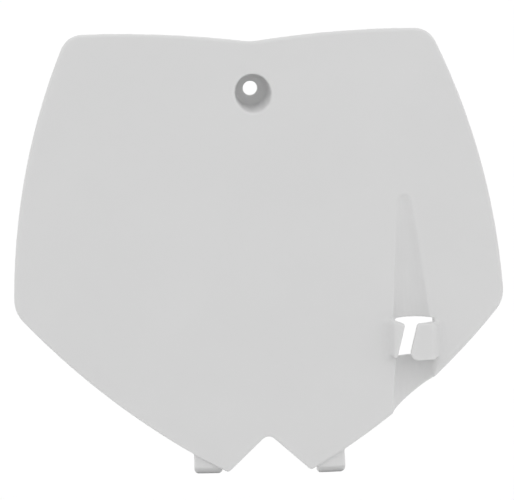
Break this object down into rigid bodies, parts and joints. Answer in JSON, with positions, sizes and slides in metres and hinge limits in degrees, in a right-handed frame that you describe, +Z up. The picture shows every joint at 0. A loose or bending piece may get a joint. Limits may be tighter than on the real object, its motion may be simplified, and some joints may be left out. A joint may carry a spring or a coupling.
{
  "type": "racing number board",
  "caption": "Moulded front number board for an off-road motorbike: a curved white sheet with a sunk bolt pocket, a hose guide with a slotted clip, and lugs at its foot.",
  "frame": {"origin": "on the bolt axis, on the back face of the bolt pocket's floor, where the board seats on its bracket", "axes": "+X to the viewer's right, the front faces -Y, +Z up; the board leans back 22 degrees from upright"},
  "size_m": [0.2322, 0.0884, 0.1979],
  "materials": {
    "white_plastic": "satin moulded polypropylene"
  },
  "bodies": {
    "root": {"number_board": "white_plastic"}
  },
  "joints": []
}
